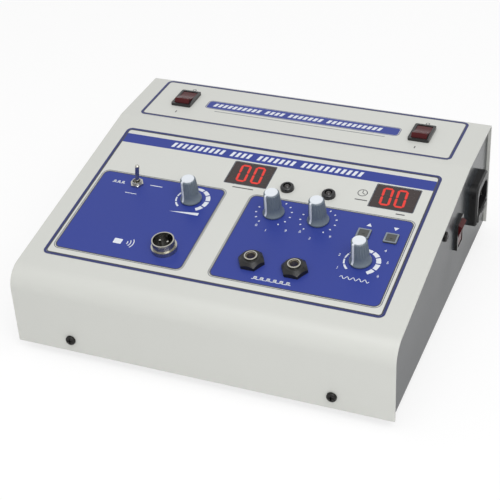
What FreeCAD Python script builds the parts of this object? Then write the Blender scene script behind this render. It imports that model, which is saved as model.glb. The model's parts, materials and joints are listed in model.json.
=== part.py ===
import FreeCAD, Part

import math
import os

# Bench-top ultrasound and muscle-stimulation console.
# A white bent-sheet cover (front wall, slope, flat strip, rear wall) sits on a grey tray with side walls.
# The case is drawn from its own corner: x from the left edge, y from the front wall, z from the underside.
# Every panel piece is drawn with z = 0 on the panel's outer face and z pointing out of the case.
# Millimetres throughout. The row frame has its origin under the middle of the whole part, at the feet.

V = FreeCAD.Vector

# ---- case ----
width = 250.0
depth = 226.0
front_height = 52.0
top_height = 78.0
slope_run = 166.0
sheet = 1.2
front_bend = 14.0
mid_bend = 3.0
rear_bend = 3.5
side_recess = 2.0
paint_gap = 0.2
side_lip = 8.0
wall_flange_height = 18.0
vent_length = 34.0
vent_width = 3.0
vent_pitch = 7.0
vent_count = 6

# ---- labels ----
label_thickness = 0.3
label_corner = 4.0
label_left_margin = 12.0
label_right_margin = 14.2
control_label_front = 22.7
control_label_rear = 13.5
power_label_margin = 4.0

# ---- screws and feet ----
screw_radius = 1.5
screw_head_radius = 3.3
screw_head_height = 1.9
screw_clearance = 0.3
thread_gap = 0.02
cover_screw_inset = 38.5
cover_screw_height = 9.1
side_screw_place = (112.8, 57.7)
foot_height = 6.0
foot_radius = 8.0
foot_inset = 26.0

# ---- knobs and potentiometers: name, x, distance up the slope ----
knob_places = (
    ("intensity", 85.2, 93.6),
    ("channel_1", 142.0, 94.1),
    ("channel_2", 171.8, 94.1),
    ("frequency", 208.5, 65.3),
)
pointer_angle = 240.0
pot_radius = 8.2
pot_depth = 8.5
bush_radius = 3.5
bush_length = 6.4
shaft_radius = 3.0
shaft_gap = 0.05
shaft_top = 12.6
pot_nut_flats = 9.0
pot_nut_height = 1.8
knob_bottom = 1.0
knob_top = 17.4
knob_base_radius = 7.0
knob_neck_radius = 5.7
knob_neck_height = 7.4
knob_top_radius = 5.0
knob_hollow_gap = 0.3
flute_count = 20
flute_radius = 0.42
cap_radius = 4.1
cap_depth = 1.1
cap_proud = 0.4
rib_width = 1.4
rib_proud = 0.3
rib_depth = 0.6
insert_gap = 0.05

# ---- toggle switch ----
toggle_place = (43.9, 99.2)
toggle_lean = 10.0
toggle_bush_radius = 3.15
toggle_bush_length = 4.4
toggle_bush_wall = 0.6
toggle_nut_flats = 8.0
toggle_nut_height = 1.6
toggle_pivot = 0.8
toggle_ball_radius = 2.0
toggle_lever_radius = 1.25
toggle_tip_radius = 1.45
toggle_tip = 17.2
toggle_body_size = (13.2, 8.0, 9.5)

# ---- ultrasound head socket ----
socket_place = (87.3, 45.4)
socket_radius = 7.2
socket_wall = 0.8
socket_top = 8.2
socket_flange_lip = 1.1
socket_flange_height = 3.0
socket_floor = 1.2
socket_tail = 13.0
socket_nut_wall = 1.3
socket_nut_height = 3.0
socket_pin_radius = 0.65
socket_pin_circle = 2.8
socket_pin_top = 6.4
socket_pin_angles = (20.0, 160.0)

# ---- stimulation output jacks ----
jack_row = 48.1
jack_columns = (144.5, 172.5)
jack_bore_radius = 3.2
jack_bush_radius = 4.0
jack_bush_top = 5.3
jack_ring_height = 0.8
jack_ring_overlap = 0.15
jack_bore_depth = 22.0
jack_body_size = (15.0, 13.0, 26.0)
jack_nut_flats = 15.0
jack_nut_height = 4.8
jack_nut_straight = 2.0
jack_nut_rim = 1.9

# ---- indicators ----
lamp_row = 118.7
lamp_columns = (142.3, 170.4)
holder_radius = 4.5
holder_height = 2.9
holder_barrel_radius = 3.9
lamp_radius = 2.5
lamp_gap = 0.05

# ---- push buttons ----
button_row = 89.2
button_columns = (("up", 202.9), ("down", 220.6))
button_size = 8.6
button_gap = 0.3
button_proud = 1.3
button_flange = 0.8
button_stem_radius = 1.7
button_stem_gap = 0.06
button_travel = 0.8
tact_size = 6.0
tact_height = 3.6

# ---- displays ----
display_row = 126.4
display_columns = (("output", 113.9), ("timer", 212.0))
window_size = (28.4, 21.4)
window_gap = 0.1
window_flange = 1.3
window_flange_thickness = 1.0
module_size = (27.4, 20.4)
module_gap = 0.2

# ---- control board, hung under the slope ----
board_thickness = 1.6
board_drop = 12.0
board_x = (97.0, 234.0)
board_s = (59.0, 148.0)
standoff_radius = 2.6
standoff_inset = 5.0

# ---- rocker switches ----
strip_switch_row = 31.8
strip_switch_columns = (("left", 36.0), ("right", 209.0))
mains_switch_place = (146.4, 40.2)
bezel_size = (14.6, 21.0)
bezel_height = 2.0
bezel_corner = 1.2
switch_body_size = (13.0, 19.2)
switch_body_depth = 15.0
switch_hole_gap = 0.2
rocker_size = (10.6, 17.4)
rocker_gap = 0.2
rocker_angle = 11.0
rocker_pivot = -1.0
rocker_middle = 2.0
rocker_bottom = -5.0
trunnion_radius = 1.0
trunnion_gap = 0.05
tab_size = (4.8, 0.8, 7.5)
tab_rows = (-7.0, 0.0, 7.0)

# ---- mains inlet with fuse drawer ----
inlet_place = (192.4, 40.2)
inlet_flange = (31.0, 30.5)
inlet_proud = 5.5
inlet_lower_corner = 2.5
inlet_upper_corner = 6.5
inlet_bevel = 1.2
inlet_body = (27.6, 28.4)
inlet_depth = 22.0
recess_size = (24.2, 16.4)
recess_offset = 1.6
recess_chamfer = 4.2
recess_depth = 17.0
blade_size = (2.0, 4.0)
blade_spread = 7.0
blade_row = -2.0
earth_row = 2.0
blade_top = 3.0
drawer_size = (23.2, 5.2)
drawer_offset = -10.6
drawer_gap = 0.2
drawer_depth = 16.0
drawer_proud = 0.6
fuse_radius = 2.5
fuse_length = 20.0

# ---- inside the tray ----
transformer_place = (62.0, 176.0)
core_size = (57.0, 28.0, 48.0)
core_window = (9.5, 28.5)
coil_gap = 0.15
coil_bulge = 8.0
clamp_thickness = 1.0
clamp_foot = 9.0
power_board_x = (104.0, 214.0)
power_board_y = (24.0, 150.0)
power_board_lift = 8.0
capacitor_places = ((122.0, 132.0, 9.0, 24.0), (144.0, 132.0, 9.0, 24.0), (163.0, 134.0, 6.0, 16.0))
heat_sink_place = (196.0, 118.0)
heat_sink_size = (26.0, 40.0, 22.0)
fin_count = 6
fin_thickness = 1.6
inductor_place = (124.0, 96.0)
inductor_radius = 11.0
inductor_bore = 5.0
inductor_height = 10.0

slope_length = math.hypot(slope_run, top_height - front_height)
slope_angle = math.degrees(math.atan2(top_height - front_height, slope_run))
side_face = width - side_recess
tray_inset = sheet + paint_gap
nodes = {}
cuts = {"top_cover": [], "control_label": [], "power_label": [], "base_tray": []}


# ---- small shapes ----


def box(x0, x1, y0, y1, z0, z1):
    return Part.makeBox(x1 - x0, y1 - y0, z1 - z0, V(x0, y0, z0))


def block(size_x, size_y, z0, z1, x=0.0, y=0.0):
    """A box centred on x, y."""
    return box(x - size_x / 2, x + size_x / 2, y - size_y / 2, y + size_y / 2, z0, z1)


def disc(radius, z0, z1, x=0.0, y=0.0):
    return Part.makeCylinder(radius, z1 - z0, V(x, y, z0))


def cone(radius_0, radius_1, z0, z1):
    return Part.makeCone(radius_0, radius_1, z1 - z0, V(0, 0, z0))


def rounded_wire(points, radii):
    """A closed wire through the points, with each corner rounded by its own radius."""
    starts, middles, ends = [], [], []
    for i, corner in enumerate(points):
        before = (points[i - 1] - corner).normalize()
        after = (points[(i + 1) % len(points)] - corner).normalize()
        half = before.getAngle(after) / 2
        reach = radii[i] / math.tan(half)
        inward = (before + after).normalize()
        starts.append(corner + before * reach)
        ends.append(corner + after * reach)
        middles.append(corner + inward * (radii[i] / math.sin(half) - radii[i]))
    edges = []
    for i in range(len(points)):
        if radii[i] > 0:
            edges.append(Part.Arc(starts[i], middles[i], ends[i]).toShape())
        edges.append(Part.LineSegment(ends[i], starts[(i + 1) % len(points)]).toShape())
    return Part.Wire(edges)


def prism(points, radii, direction):
    return Part.Face(rounded_wire(points, radii)).extrude(direction)


def rounded_block(size_x, size_y, radius, z0, z1, x=0.0, y=0.0):
    half_x = size_x / 2
    half_y = size_y / 2
    signs = ((-1, -1), (1, -1), (1, 1), (-1, 1))
    corners = [V(x + a * half_x, y + b * half_y, z0) for a, b in signs]
    return prism(corners, [radius] * 4, V(0, 0, z1 - z0))


def hexagon(flats, z0, z1):
    radius = flats / math.sqrt(3)
    corners = [V(radius * math.cos(a), radius * math.sin(a), z0) for a in hexagon_angles()]
    return prism(corners, [0] * 6, V(0, 0, z1 - z0))


def hexagon_angles():
    return [math.radians(60 * i) for i in range(6)]


def nut(flats, height, bore, z0, chamfer=0.4):
    """A hexagon nut with its top corners turned off."""
    corner = flats / math.sqrt(3)
    body = hexagon(flats, z0, z0 + height)
    turned = cone(corner + height, corner - chamfer, z0, z0 + height)
    return body.common(turned).cut(disc(bore, z0 - 1, z0 + height + 1))


def fuse_all(shapes):
    return shapes[0].multiFuse(shapes[1:]).removeSplitter()


def moved(shape, x, y, z=0.0):
    return shape.translated(V(x, y, z))


def spun(shape, angle):
    return shape.rotated(V(0, 0, 0), V(0, 0, 1), angle)


# ---- panels ----


def placed(shape, base, rotation):
    copy = shape.copy()
    copy.Placement = FreeCAD.Placement(base, rotation).multiply(copy.Placement)
    return copy


def on_slope(shape, x, s):
    rotation = FreeCAD.Rotation(V(1, 0, 0), slope_angle)
    return placed(shape, V(x, 0, front_height) + rotation.multVec(V(0, s, 0)), rotation)


def on_strip(shape, x, t):
    return placed(shape, V(x, slope_run + t, top_height), FreeCAD.Rotation())


def on_right(shape, y, z):
    """The panel's x runs back along the case and its y runs up."""
    return placed(shape, V(side_face, y, z), FreeCAD.Rotation(V(1, 1, 1), 120))


def on_left(shape, y, z):
    turn = FreeCAD.Rotation(V(0, 0, 1), 180).multiply(FreeCAD.Rotation(V(1, 1, 1), 120))
    return placed(shape, V(side_recess, y, z), turn)


def on_front(shape, x, z):
    return placed(shape, V(x, 0, z), FreeCAD.Rotation(V(1, 0, 0), 90))


def on_rear(shape, x, z):
    turn = FreeCAD.Rotation(V(0, 0, 1), 180).multiply(FreeCAD.Rotation(V(1, 0, 0), 90))
    return placed(shape, V(x, depth, z), turn)


def under_tray(shape, x, y):
    return placed(shape, V(x, y, 0), FreeCAD.Rotation(V(1, 0, 0), 180))


def keep(name, *shapes):
    nodes.setdefault(name, []).extend(shapes)


def cut_from(name, *shapes):
    cuts[name].extend(shapes)


def panel_hole(shape, x, s):
    """A hole through the slope and its label."""
    cut_from("top_cover", on_slope(shape, x, s))
    cut_from("control_label", on_slope(shape, x, s))


# ---- case ----


def case_profile(inset, floor):
    """The case's side outline, moved in by inset, from the floor height up."""
    tangent = math.tan(math.radians(slope_angle))
    drop = inset / math.cos(math.radians(slope_angle))
    front = front_height + inset * tangent - drop
    turn = (top_height - inset - front_height + drop) / tangent
    points = [
        V(0, inset, floor),
        V(0, inset, front),
        V(0, turn, top_height - inset),
        V(0, depth - inset, top_height - inset),
        V(0, depth - inset, floor),
    ]
    radii = [0, front_bend - inset, max(mid_bend - inset, 0.2), max(rear_bend - inset, 0.2), 0]
    return points, radii


def case_slab(inset, floor, x0, x1):
    points, radii = case_profile(inset, floor)
    return moved(prism(points, radii, V(x1 - x0, 0, 0)), x0, 0)


def pan_screw(length):
    """A pan-head screw with a cross recess. Its head stands on z = 0."""
    head = disc(screw_head_radius, 0, screw_head_height)
    head = head.makeFillet(screw_head_height * 0.6, [head.Edges[0]])
    slots = [block(3.6, 0.8, 0.8, 3), block(0.8, 3.6, 0.8, 3)]
    return fuse_all([head, disc(screw_radius, -length, 0)]).cut(fuse_all(slots))


def side_tab(x0):
    """The cover's own tab that a side screw pulls on."""
    y, z = side_screw_place
    tab = box(x0, x0 + sheet, y - 8, y + 8, z - 7, top_height)
    return tab.common(case_slab(sheet, -5, 0, width))


def make_cover():
    shell = case_slab(0, 0, 0, width).cut(case_slab(sheet, -5, -1, width + 1))
    tab_left = side_recess + sheet + paint_gap
    tab_right = side_face - sheet - paint_gap - sheet
    shell = fuse_all([shell, side_tab(tab_left), side_tab(tab_right)])
    keep("top_cover", shell)


def make_tray():
    floor = box(side_recess, side_face, tray_inset, depth - tray_inset, 0, sheet)
    walls = [case_slab(tray_inset, 0, x, x + sheet) for x in (side_recess, side_face - sheet)]
    outer = case_slab(tray_inset, -5, 0, width)
    lip_ring = outer.cut(case_slab(tray_inset + sheet, -6, -1, width + 1))
    lips = []
    for x0, x1 in ((side_recess, side_recess + side_lip), (side_face - side_lip, side_face)):
        lips.append(lip_ring.common(box(x0, x1, 0, depth, wall_flange_height, top_height)))
    y_screw = side_screw_place[0]
    notch = box(-1, width + 1, y_screw - 10, y_screw + 10, front_height, top_height)
    notch = notch.cut(box(-1, side_recess + sheet, 0, depth, 0, top_height))
    notch = notch.cut(box(side_face - sheet, width + 1, 0, depth, 0, top_height))
    lips = [lip.cut(notch) for lip in lips]
    flanges = []
    for y0 in (tray_inset, depth - tray_inset - sheet):
        flanges.append(box(side_recess, side_face, y0, y0 + sheet, 0, wall_flange_height))
    tray = fuse_all([floor] + walls + lips + flanges)
    for side in (-1, 1):
        for i in range(vent_count):
            y = depth / 2 + (i - (vent_count - 1) / 2) * vent_pitch
            slot = block(vent_length, vent_width, -1, sheet + 1, width / 2 + side * 48, y)
            cut_from("base_tray", slot)
    keep("base_tray", tray)


def make_labels():
    size_x = width - label_left_margin - label_right_margin
    middle = label_left_margin + size_x / 2
    size_s = slope_length - control_label_front - control_label_rear
    plate = rounded_block(size_x, size_s, label_corner, 0, label_thickness)
    keep("control_label", on_slope(plate, middle, control_label_front + size_s / 2))
    size_t = depth - slope_run - 2 * power_label_margin
    plate = rounded_block(size_x, size_t, label_corner, 0, label_thickness)
    keep("power_label", on_strip(plate, middle, power_label_margin + size_t / 2))


def make_case_screws():
    screw = pan_screw(8.0)
    clear = disc(screw_radius + screw_clearance, -sheet - 0.1, 1)
    tapped = disc(screw_radius + thread_gap, -9, 0)
    for x in (cover_screw_inset, width - cover_screw_inset):
        for put in (on_front, on_rear):
            keep("cover_screws", put(screw, x, cover_screw_height))
            cut_from("top_cover", put(clear, x, cover_screw_height))
            cut_from("base_tray", put(tapped, x, cover_screw_height))
    for put in (on_left, on_right):
        keep("cover_screws", put(screw, *side_screw_place))
        cut_from("base_tray", put(clear, *side_screw_place))
        cut_from("top_cover", put(tapped, *side_screw_place))


def make_feet():
    body = cone(foot_radius, foot_radius - 1.0, 0, foot_height)
    body = body.cut(disc(screw_head_radius + 0.5, foot_height - 3.2, foot_height + 1))
    body = body.cut(disc(screw_radius + screw_clearance, -1, foot_height))
    seat = foot_height - 3.2
    screw = moved(pan_screw(seat + 5.0), 0, 0, seat)
    tapped = disc(screw_radius + thread_gap, -4, 1)
    for x in (foot_inset, width - foot_inset):
        for y in (foot_inset, depth - foot_inset):
            keep("rubber_feet", under_tray(body, x, y))
            keep("foot_screws", under_tray(screw, x, y))
            cut_from("base_tray", under_tray(tapped, x, y))


# ---- knobs and potentiometers ----


def knob_body(offset, top):
    """The knob's turned outline, moved out by offset."""
    neck = knob_neck_radius + offset
    base = knob_base_radius + offset
    waist = V(neck + 0.28 * (base - neck), 0, knob_bottom + 0.42 * (knob_neck_height - knob_bottom))
    edges = [
        Part.LineSegment(V(0, 0, knob_bottom), V(base, 0, knob_bottom)).toShape(),
        Part.LineSegment(V(base, 0, knob_bottom), V(base, 0, knob_bottom + 0.8)).toShape(),
        Part.Arc(V(base, 0, knob_bottom + 0.8), waist, V(neck, 0, knob_neck_height)).toShape(),
    ]
    slope_top = top - 0.5
    shoulder = V(knob_top_radius + offset, 0, slope_top)
    rim = V(knob_top_radius + offset - 0.5, 0, top)
    edges.append(Part.LineSegment(V(neck, 0, knob_neck_height), shoulder).toShape())
    edges.append(Part.LineSegment(shoulder, rim).toShape())
    edges.append(Part.LineSegment(rim, V(0, 0, top)).toShape())
    edges.append(Part.LineSegment(V(0, 0, top), V(0, 0, knob_bottom)).toShape())
    return Part.Face(Part.Wire(edges)).revolve(V(0, 0, 0), V(0, 0, 1), 360)


def pointer_insert(gap):
    """The pale cap with its pointer rib, which points along +x, grown by gap."""
    seat = knob_top - cap_depth - gap
    cap = disc(cap_radius + gap, seat, knob_top + cap_proud)
    bar_top = knob_top + (0.1 if gap == 0 else 1.0)
    bar = box(0, 20, -rib_width / 2 - gap, rib_width / 2 + gap, knob_bottom + 1.2 - gap, bar_top)
    if gap == 0:
        bar = bar.common(knob_body(rib_proud, bar_top))
    bar = bar.cut(knob_body(-rib_depth - gap, seat))
    bar = bar.cut(disc(cap_radius - 0.6, 0, seat))
    return fuse_all([cap, bar])


def make_knob():
    body = knob_body(0, knob_top)
    slant = V(knob_top_radius - knob_neck_radius, 0, knob_top - knob_neck_height)
    start = V(knob_neck_radius + 0.12, 0, knob_neck_height) - slant * 0.12
    flute = Part.makeCylinder(flute_radius, slant.Length * 1.2, start, slant)
    step = 360.0 / flute_count
    flutes = [spun(flute, step * (i + 0.5)) for i in range(flute_count)]
    body = body.cut(Part.makeCompound(flutes))
    body = body.cut(pointer_insert(insert_gap))
    nut_top = label_thickness + pot_nut_height
    nut_corner = pot_nut_flats / math.sqrt(3)
    body = body.cut(disc(nut_corner + knob_hollow_gap, 0, nut_top + knob_hollow_gap))
    bush_top = bush_length - sheet
    body = body.cut(disc(bush_radius + knob_hollow_gap, 0, bush_top + knob_hollow_gap))
    return body.cut(disc(shaft_radius + thread_gap, 0, shaft_top + 0.3))


def make_controls():
    knob = make_knob()
    insert = pointer_insert(0)
    bush_top = bush_length - sheet
    can = disc(pot_radius, -sheet - pot_depth, -sheet)
    tail = box(-4, 4, -pot_radius - 4, 0, -sheet - pot_depth + 1, -sheet - pot_depth + 2.2)
    body = fuse_all([can, tail, disc(bush_radius, -sheet, bush_top)])
    body = body.cut(disc(shaft_radius + shaft_gap, -sheet - 6, bush_top + 1))
    ring = nut(pot_nut_flats, pot_nut_height, bush_radius + thread_gap, label_thickness)
    shaft = disc(shaft_radius, -sheet - 5.8, shaft_top)
    for name, x, s in knob_places:
        keep("potentiometers", on_slope(body, x, s))
        keep("potentiometer_nuts", on_slope(ring, x, s))
        keep(name + "_shaft", on_slope(shaft, x, s))
        keep(name + "_knob", on_slope(spun(knob, pointer_angle), x, s))
        keep(name + "_cap", on_slope(spun(insert, pointer_angle), x, s))
        panel_hole(disc(bush_radius + 0.2, -3, 3), x, s)


# ---- toggle switch ----


def make_toggle():
    pivot = V(0, 0, toggle_pivot)
    bush_top = toggle_bush_length - sheet
    size_x, size_y, size_z = toggle_body_size
    case = block(size_x, size_y, -sheet - size_z, -sheet)
    lugs = [block(0.8, 2.4, -sheet - size_z - 4.5, -sheet - size_z, x) for x in (-4.7, 0, 4.7)]
    bush = disc(toggle_bush_radius, -sheet, bush_top)
    body = fuse_all([case, bush] + lugs)
    mouth = toggle_bush_radius - toggle_bush_wall
    funnel = cone(toggle_lever_radius + 0.5, mouth, toggle_pivot, bush_top + 0.01)
    ball_seat = Part.makeSphere(toggle_ball_radius + shaft_gap, pivot)
    hollow = block(size_x - 3, size_y - 3, -sheet - size_z + 2, -sheet - 0.8)
    neck = disc(toggle_ball_radius, -sheet - 1, toggle_pivot)
    body = body.cut(fuse_all([funnel, ball_seat, hollow, neck]))
    stick = cone(toggle_lever_radius, toggle_tip_radius, toggle_pivot, toggle_tip - toggle_tip_radius)
    tip = Part.makeSphere(toggle_tip_radius, V(0, 0, toggle_tip - toggle_tip_radius))
    tail = disc(0.9, toggle_pivot - 6.5, toggle_pivot)
    lever = fuse_all([stick, tip, tail, Part.makeSphere(toggle_ball_radius, pivot)])
    lever = lever.rotated(pivot, V(0, 1, 0), toggle_lean)
    ring = nut(toggle_nut_flats, toggle_nut_height, toggle_bush_radius + thread_gap, label_thickness)
    keep("toggle_body", on_slope(body, *toggle_place))
    keep("toggle_lever", on_slope(lever, *toggle_place))
    keep("toggle_nut", on_slope(ring, *toggle_place))
    panel_hole(disc(toggle_bush_radius + 0.15, -3, 3), *toggle_place)


# ---- sockets ----


def make_head_socket():
    inner = socket_radius - socket_wall
    shell = fuse_all(
        [
            disc(socket_radius, -sheet - 8, socket_top),
            disc(socket_radius + socket_flange_lip, label_thickness, label_thickness + socket_flange_height),
        ]
    )
    for i in range(5):
        groove_z = label_thickness + socket_flange_height + 0.8 + 0.9 * i
        groove = disc(socket_radius + 1, groove_z, groove_z + 0.4)
        shell = shell.cut(groove.cut(disc(socket_radius - 0.35, groove_z - 1, groove_z + 1)))
    shell = shell.cut(disc(inner, -30, 30))
    insert = disc(inner - thread_gap, -socket_tail, socket_floor)
    key = block(1.0, 1.2, socket_floor, socket_top - 2, 0, inner - 0.75)
    insert = fuse_all([insert, key])
    for angle in socket_pin_angles:
        turn = math.radians(angle)
        x = socket_pin_circle * math.cos(turn)
        y = socket_pin_circle * math.sin(turn)
        pin = disc(socket_pin_radius, -socket_tail - 4, socket_pin_top, x, y)
        insert = insert.cut(disc(socket_pin_radius + thread_gap, -20, 20, x, y))
        keep("head_socket_pins", on_slope(pin, *socket_place))
    ring = nut(2 * (socket_radius + socket_nut_wall), socket_nut_height, socket_radius + thread_gap, 0)
    ring = moved(ring, 0, 0, -sheet - socket_nut_height)
    keep("head_socket_shell", on_slope(shell, *socket_place))
    keep("head_socket_insert", on_slope(insert, *socket_place))
    keep("head_socket_nut", on_slope(ring, *socket_place))
    panel_hole(disc(socket_radius + 0.2, -3, 3), *socket_place)


def make_jacks():
    size_x, size_y, size_z = jack_body_size
    body = fuse_all(
        [
            block(size_x, size_y, -sheet - size_z, -sheet),
            disc(jack_bush_radius, -sheet, jack_bush_top),
            block(2.0, 0.5, -sheet - size_z - 4, -sheet - size_z, -4),
            block(2.0, 0.5, -sheet - size_z - 4, -sheet - size_z, 4),
        ]
    )
    body = body.cut(disc(jack_bore_radius, -jack_bore_depth, jack_bush_top + 1))
    ring = disc(jack_bush_radius + 0.1, jack_bush_top, jack_bush_top + jack_ring_height)
    ring = ring.cut(disc(jack_bore_radius + jack_ring_overlap, 0, 20))
    nut_top = label_thickness + jack_nut_height
    corner = jack_nut_flats / math.sqrt(3)
    shoulder = label_thickness + jack_nut_straight
    turned = fuse_all(
        [
            disc(corner, label_thickness, shoulder),
            cone(corner, jack_bush_radius + jack_nut_rim, shoulder, nut_top),
        ]
    )
    ring_nut = hexagon(jack_nut_flats, label_thickness, nut_top).common(turned)
    ring_nut = ring_nut.cut(disc(jack_bush_radius + thread_gap, 0, 20))
    for x in jack_columns:
        keep("jack_bodies", on_slope(body, x, jack_row))
        keep("jack_rings", on_slope(ring, x, jack_row))
        keep("jack_nuts", on_slope(ring_nut, x, jack_row))
        panel_hole(disc(jack_bush_radius + 0.2, -3, 3), x, jack_row)


# ---- indicators, buttons, displays and their board ----


def make_indicators():
    flange_top = label_thickness + holder_height
    flange = disc(holder_radius, label_thickness, flange_top)
    flange = flange.makeFillet(1.3, [flange.Edges[0]])
    holder = fuse_all([flange, disc(holder_barrel_radius, -7, label_thickness)])
    holder = holder.cut(disc(lamp_radius + lamp_gap, -20, 20))
    dome_z = flange_top - lamp_radius + 0.3
    lamp = fuse_all([disc(lamp_radius, -8, dome_z), Part.makeSphere(lamp_radius, V(0, 0, dome_z))])
    for x in lamp_columns:
        keep("lamp_holders", on_slope(holder, x, lamp_row))
        keep("lamps", on_slope(lamp, x, lamp_row))
        panel_hole(disc(holder_barrel_radius + 0.1, -3, 3), x, lamp_row)


def make_buttons():
    tact_top = -board_drop + tact_height
    flange_z = -sheet - 0.4 - button_flange
    cap = rounded_block(button_size, button_size, 0.6, flange_z, button_proud)
    cap = fuse_all([cap, disc(0.8, button_proud, button_proud + 0.3)])
    flange = block(button_size + 2.4, button_size + 2.4, flange_z, flange_z + button_flange)
    stem = disc(button_stem_radius, tact_top - 1.2, flange_z)
    button = fuse_all([cap, flange, stem])
    tact = block(tact_size, tact_size, -board_drop, tact_top)
    tact = tact.cut(disc(button_stem_radius + button_stem_gap, tact_top - 2.6, tact_top + 1))
    hole = button_size + 2 * button_gap
    for name, x in button_columns:
        keep(name + "_button", on_slope(button, x, button_row))
        keep("tact_switches", on_slope(tact, x, button_row))
        panel_hole(rounded_block(hole, hole, 0.6 + button_gap, -3, 3), x, button_row)


def make_displays():
    size_x, size_y = window_size
    pane = rounded_block(size_x, size_y, 0.4, -sheet, label_thickness)
    rim_z = -sheet - window_flange_thickness
    rim = block(size_x + 2 * window_flange, size_y + 2 * window_flange, rim_z, -sheet)
    window = fuse_all([pane, rim])
    module = block(*module_size, -board_drop, rim_z - module_gap)
    hole = rounded_block(size_x + 2 * window_gap, size_y + 2 * window_gap, 0.4, -3, 3)
    for name, x in display_columns:
        keep(name + "_window", on_slope(window, x, display_row))
        keep("digit_displays", on_slope(module, x, display_row))
        panel_hole(hole, x, display_row)


def standoff(bottom, top, hole):
    return disc(standoff_radius, bottom, top).cut(disc(hole, bottom - 1, top + 1))


def make_control_board():
    under = -board_drop - board_thickness
    board = box(*board_x, *board_s, under, -board_drop)
    post = standoff(-board_drop, -sheet, screw_radius + thread_gap)
    screw = moved(pan_screw(7.0).rotated(V(0, 0, 0), V(1, 0, 0), 180), 0, 0, under)
    for x in (board_x[0] + standoff_inset, board_x[1] - standoff_inset):
        for s in (board_s[0] + standoff_inset, board_s[1] - standoff_inset):
            board = board.cut(disc(screw_radius + screw_clearance, under - 1, 0, x, s))
            keep("board_standoffs", on_slope(post, x, s))
            keep("mounting_screws", on_slope(screw, x, s))
    lamp_hole = disc(holder_barrel_radius, under - 1, 0, 0, 0)
    for x in lamp_columns:
        board = board.cut(moved(lamp_hole, x, lamp_row))
    keep("control_board", on_slope(board, 0, 0))


# ---- rocker switches ----


def rocker_shape():
    """The rocker at mid travel. Its top is a shallow V and its ends are round about the pivot."""
    size_x, size_y = rocker_size
    radius = size_y / 2
    half = size_x / 2
    drum = Part.makeCylinder(radius, size_x, V(-half, 0, rocker_pivot), V(1, 0, 0))
    rise = radius * math.tan(math.radians(rocker_angle))
    points = [
        V(-half, -radius, rocker_bottom),
        V(-half, radius, rocker_bottom),
        V(-half, radius, rocker_middle + rise),
        V(-half, 0, rocker_middle),
        V(-half, -radius, rocker_middle + rise),
    ]
    outline = prism(points, [0, 0, 0, 24.0, 0], V(size_x, 0, 0))
    reach = switch_body_size[0] / 2 - 0.2
    pin = Part.makeCylinder(trunnion_radius, 2 * reach, V(-reach, 0, rocker_pivot), V(1, 0, 0))
    return fuse_all([drum.common(outline), pin])


def housing_shape():
    bezel = rounded_block(*bezel_size, bezel_corner, label_thickness, label_thickness + bezel_height)
    body = block(*switch_body_size, -sheet - switch_body_depth, label_thickness)
    size_x = rocker_size[0] + 2 * rocker_gap
    size_y = rocker_size[1] + 2 * rocker_gap
    hollow = block(size_x, size_y, rocker_bottom - 4.0, 10)
    radius = trunnion_radius + trunnion_gap
    width_x = switch_body_size[0]
    hole = Part.makeCylinder(radius, width_x + 2, V(-width_x / 2 - 1, 0, rocker_pivot), V(1, 0, 0))
    return fuse_all([bezel, body]).cut(hollow).cut(hole)


def make_rocker_switches():
    housing = housing_shape()
    pivot = V(0, 0, rocker_pivot)
    rear_pressed = rocker_shape().rotated(pivot, V(1, 0, 0), -rocker_angle)
    front_pressed = rocker_shape().rotated(pivot, V(1, 0, 0), rocker_angle)
    tab_top = -sheet - switch_body_depth
    tabs = [block(*tab_size[:2], tab_top - tab_size[2], tab_top, 0, y) for y in tab_rows]
    size_x = switch_body_size[0] + 2 * switch_hole_gap
    size_y = switch_body_size[1] + 2 * switch_hole_gap
    hole = block(size_x, size_y, -4, 4)
    for name, x in strip_switch_columns:
        keep(name + "_switch_housing", on_strip(housing, x, strip_switch_row))
        keep(name + "_rocker", on_strip(rear_pressed, x, strip_switch_row))
        keep("switch_tabs", *[on_strip(tab, x, strip_switch_row) for tab in tabs])
        cut_from("top_cover", on_strip(hole, x, strip_switch_row))
        cut_from("power_label", on_strip(hole, x, strip_switch_row))
    side_housing = moved(housing, 0, 0, -label_thickness)
    side_rocker = moved(front_pressed, 0, 0, -label_thickness)
    keep("mains_switch_housing", on_right(side_housing, *mains_switch_place))
    keep("mains_rocker", on_right(side_rocker, *mains_switch_place))
    for tab in tabs:
        keep("switch_tabs", on_right(moved(tab, 0, 0, -label_thickness), *mains_switch_place))
    cut_from("base_tray", on_right(hole, *mains_switch_place))


# ---- mains inlet ----


def recess_shape(z0, z1):
    """The inlet's recess: its two upper corners are cut off."""
    half_x = recess_size[0] / 2
    half_y = recess_size[1] / 2
    points = [
        V(-half_x, -half_y, z0),
        V(half_x, -half_y, z0),
        V(half_x, half_y - recess_chamfer, z0),
        V(half_x - recess_chamfer, half_y, z0),
        V(-half_x + recess_chamfer, half_y, z0),
        V(-half_x, half_y - recess_chamfer, z0),
    ]
    return moved(prism(points, [0.6] * 6, V(0, 0, z1 - z0)), 0, recess_offset)


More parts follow.
